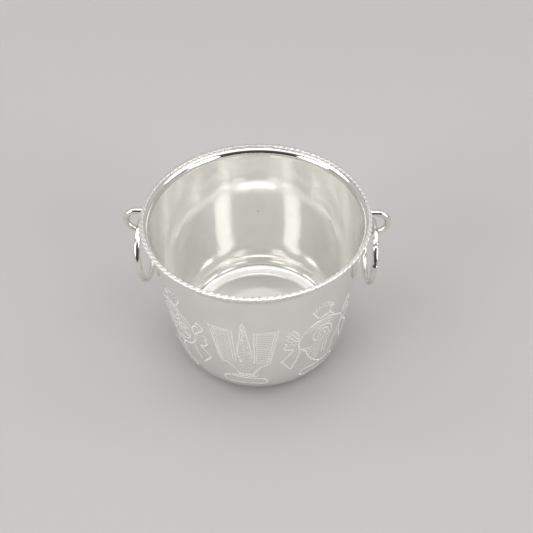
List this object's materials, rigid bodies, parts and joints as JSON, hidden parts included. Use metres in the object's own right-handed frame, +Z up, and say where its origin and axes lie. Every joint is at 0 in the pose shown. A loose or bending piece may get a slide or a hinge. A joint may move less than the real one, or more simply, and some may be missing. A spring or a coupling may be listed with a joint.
{
  "type": "water pot",
  "caption": "Small metal water pot with tapered round wall, twisted-wire mouth edge, and a loose ring hanging in a wire ear on each side.",
  "frame": {"origin": "centre of the base, on the surface that the pot stands on", "axes": "+Z up through the mouth, +X and -X through the two ears, -Y the side seen from the front in the picture"},
  "size_m": [0.0772, 0.065, 0.0529],
  "materials": {
    "pot_silver": "silver, bright polished outside with engraved figures, spun and lightly brushed inside",
    "rope_silver": "silver twisted wire, hammered and polished",
    "ear_silver": "silver wire, polished",
    "ring_silver": "silver wire, polished"
  },
  "bodies": {
    "pot": {"pot_body": "pot_silver", "rope_edge": "rope_silver", "ear_right": "ear_silver", "ear_left": "ear_silver"},
    "ring_right": {"ring_right": "ring_silver"},
    "ring_left": {"ring_left": "ring_silver"}
  },
  "joints": [
    {"name": "ring_right_swing", "type": "hinge", "parent": "pot", "child": "ring_right", "pos_m": [0.0341, 0, 0.04686], "axis": [0, -1, 0], "range_deg": [-6, 190]},
    {"name": "ring_left_swing", "type": "hinge", "parent": "pot", "child": "ring_left", "pos_m": [-0.0341, 0, 0.04686], "axis": [0, 1, 0], "range_deg": [-6, 190]}
  ]
}
